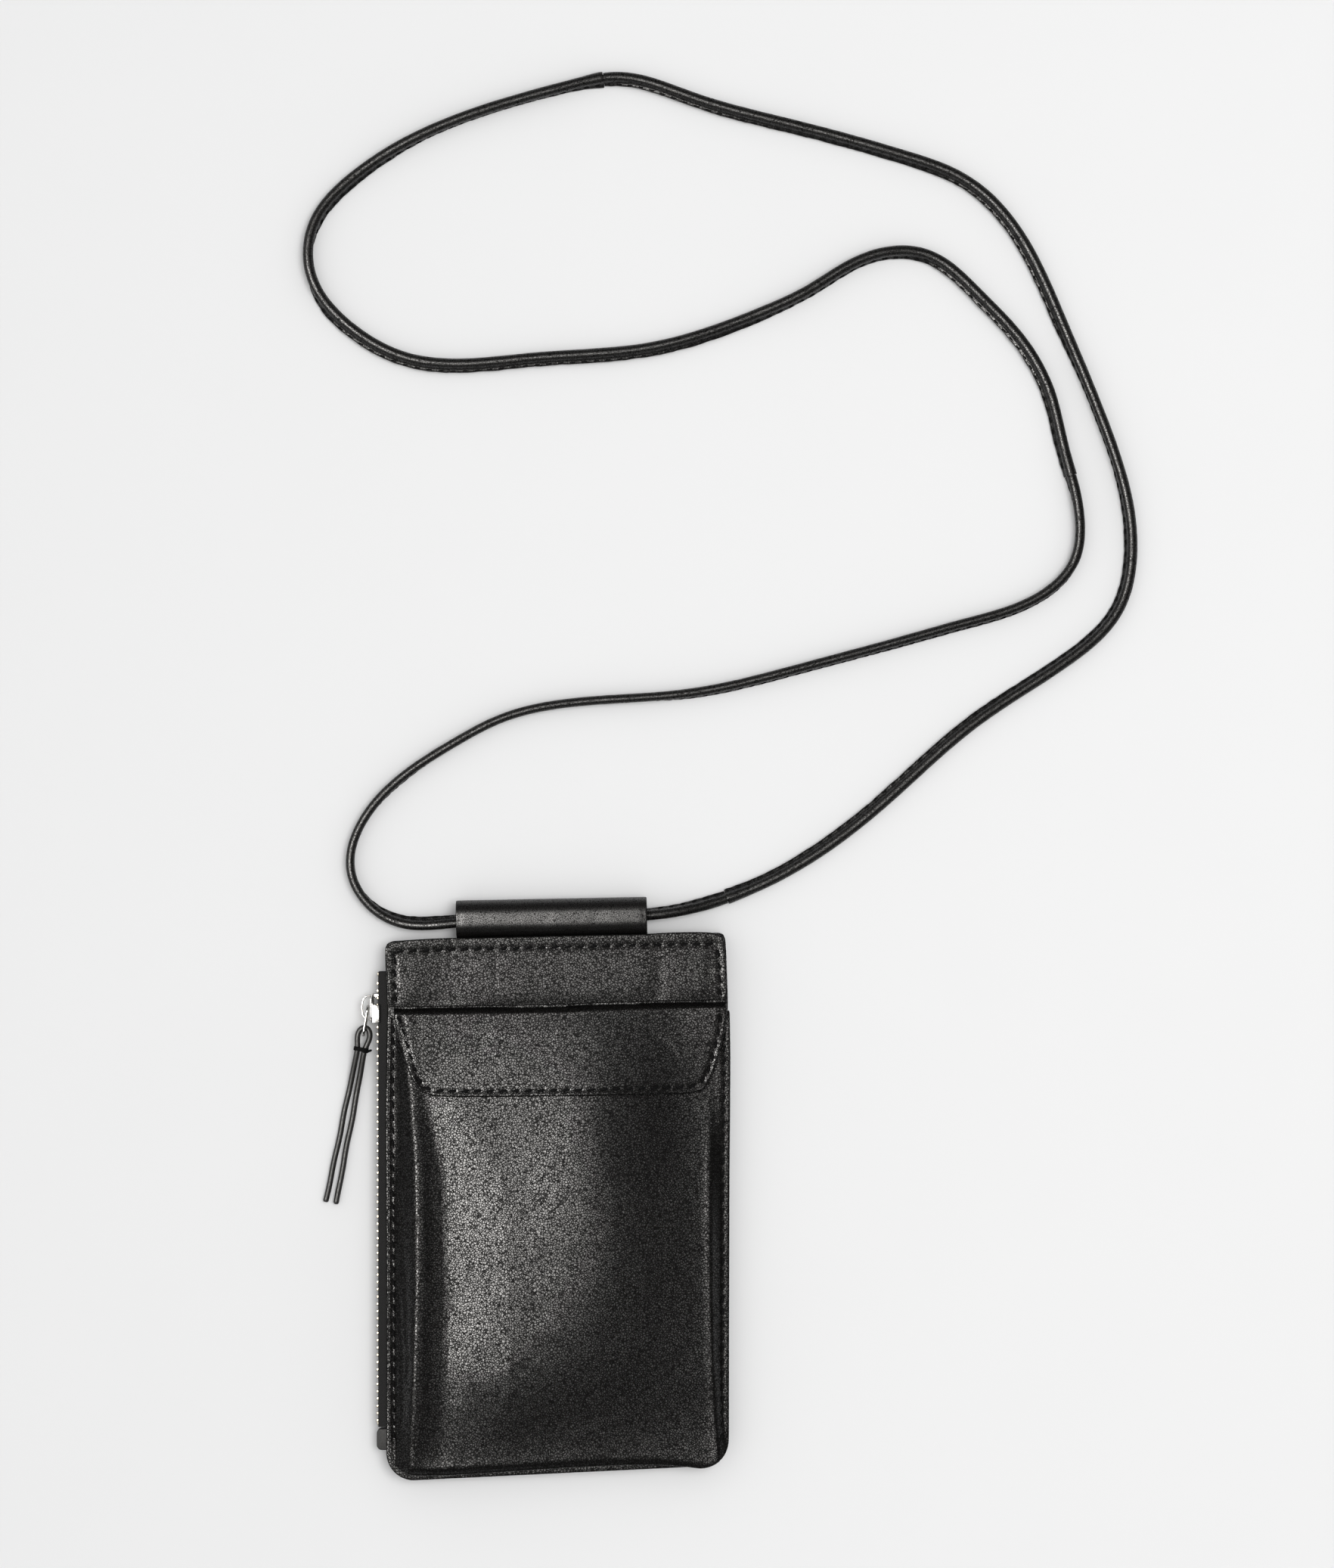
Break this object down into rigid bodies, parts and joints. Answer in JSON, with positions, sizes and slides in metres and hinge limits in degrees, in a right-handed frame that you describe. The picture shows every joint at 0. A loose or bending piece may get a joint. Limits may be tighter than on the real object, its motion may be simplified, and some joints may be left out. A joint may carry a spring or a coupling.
{
  "type": "neck pouch wallet",
  "caption": "Flat black leather neck pouch: side zip compartment, front pocket under a snap flap, and a corded leather neck strap running through a tunnel at the top.",
  "frame": {"origin": "middle of the back face, on the surface the pouch lies on", "axes": "+X to the right of the front, +Y up towards the strap tunnel, +Z out of the front; the pouch lies on its back with its strap laid double on the same surface"},
  "size_m": [0.2752, 0.4642, 0.0213],
  "materials": {
    "leather": "black pebbled calf leather, semi-gloss",
    "strap_leather": "smooth black leather, semi-gloss",
    "lining": "woven lining, matt",
    "thread": "waxed polyester thread",
    "zip_tape": "black herringbone tape",
    "zip_metal": "worn nickel",
    "slider_metal": "polished nickel",
    "magnet": "plated steel",
    "cord_core": "twisted cotton cord"
  },
  "bodies": {
    "pouch": {"back_panel": "leather", "front_panel": "leather", "yoke_panel": "leather", "back_lining": "lining", "front_lining": "lining", "edge_strip_closed_sides": "leather", "edge_strip_top_left": "leather", "strap_tunnel": "leather", "pocket_front": "leather", "pocket_lining": "lining", "pocket_magnet": "magnet", "flap_root": "leather", "yoke_thread": "thread", "pocket_thread": "thread", "zip_tape_front": "zip_tape", "zip_tape_back": "zip_tape", "zip_teeth_front": "zip_metal", "zip_teeth_back": "zip_metal", "zip_top_stop": "zip_metal", "zip_bottom_stop": "zip_metal", "zip_end_tab": "leather"},
    "flap": {"flap_leather": "leather", "flap_lining": "lining", "flap_magnet": "magnet", "flap_thread": "thread"},
    "slider": {"slider_body": "slider_metal", "slider_crown": "slider_metal", "slider_lock_spring": "slider_metal"},
    "pull": {"pull_ring": "slider_metal"},
    "tassel": {"tassel_cord": "strap_leather", "tassel_binding": "thread"},
    "strap": {"strap_cover_right": "strap_leather", "strap_cover_upper": "strap_leather", "strap_cover_lower": "strap_leather", "strap_core": "cord_core", "strap_thread": "thread"}
  },
  "joints": [
    {"name": "flap_hinge", "type": "hinge", "parent": "pouch", "child": "flap", "pos_m": [0, 0.06715, 0.0103], "axis": [-0.9998, -0.0216, 0], "range_deg": [0, 140]},
    {"name": "strap_swing", "type": "hinge", "parent": "pouch", "child": "strap", "pos_m": [-0.002, 0.09525, 0.0049], "axis": [0.9992, 0.0395, 0], "range_deg": [0, 120]},
    {"name": "zip_slide", "type": "slide", "parent": "pouch", "child": "slider", "axis": [0, -1, 0], "range_m": [0, 0.129]},
    {"name": "pull_ring_swing", "type": "hinge", "parent": "slider", "child": "pull", "pos_m": [-0.0627, 0.0666, 0.0036], "axis": [0, 0, -1], "range_deg": [-5, 75]},
    {"name": "tassel_swing", "type": "hinge", "parent": "pull", "child": "tassel", "pos_m": [-0.06418, 0.05691, 0.0036], "axis": [0, 0, -1], "range_deg": [-5, 70]}
  ]
}
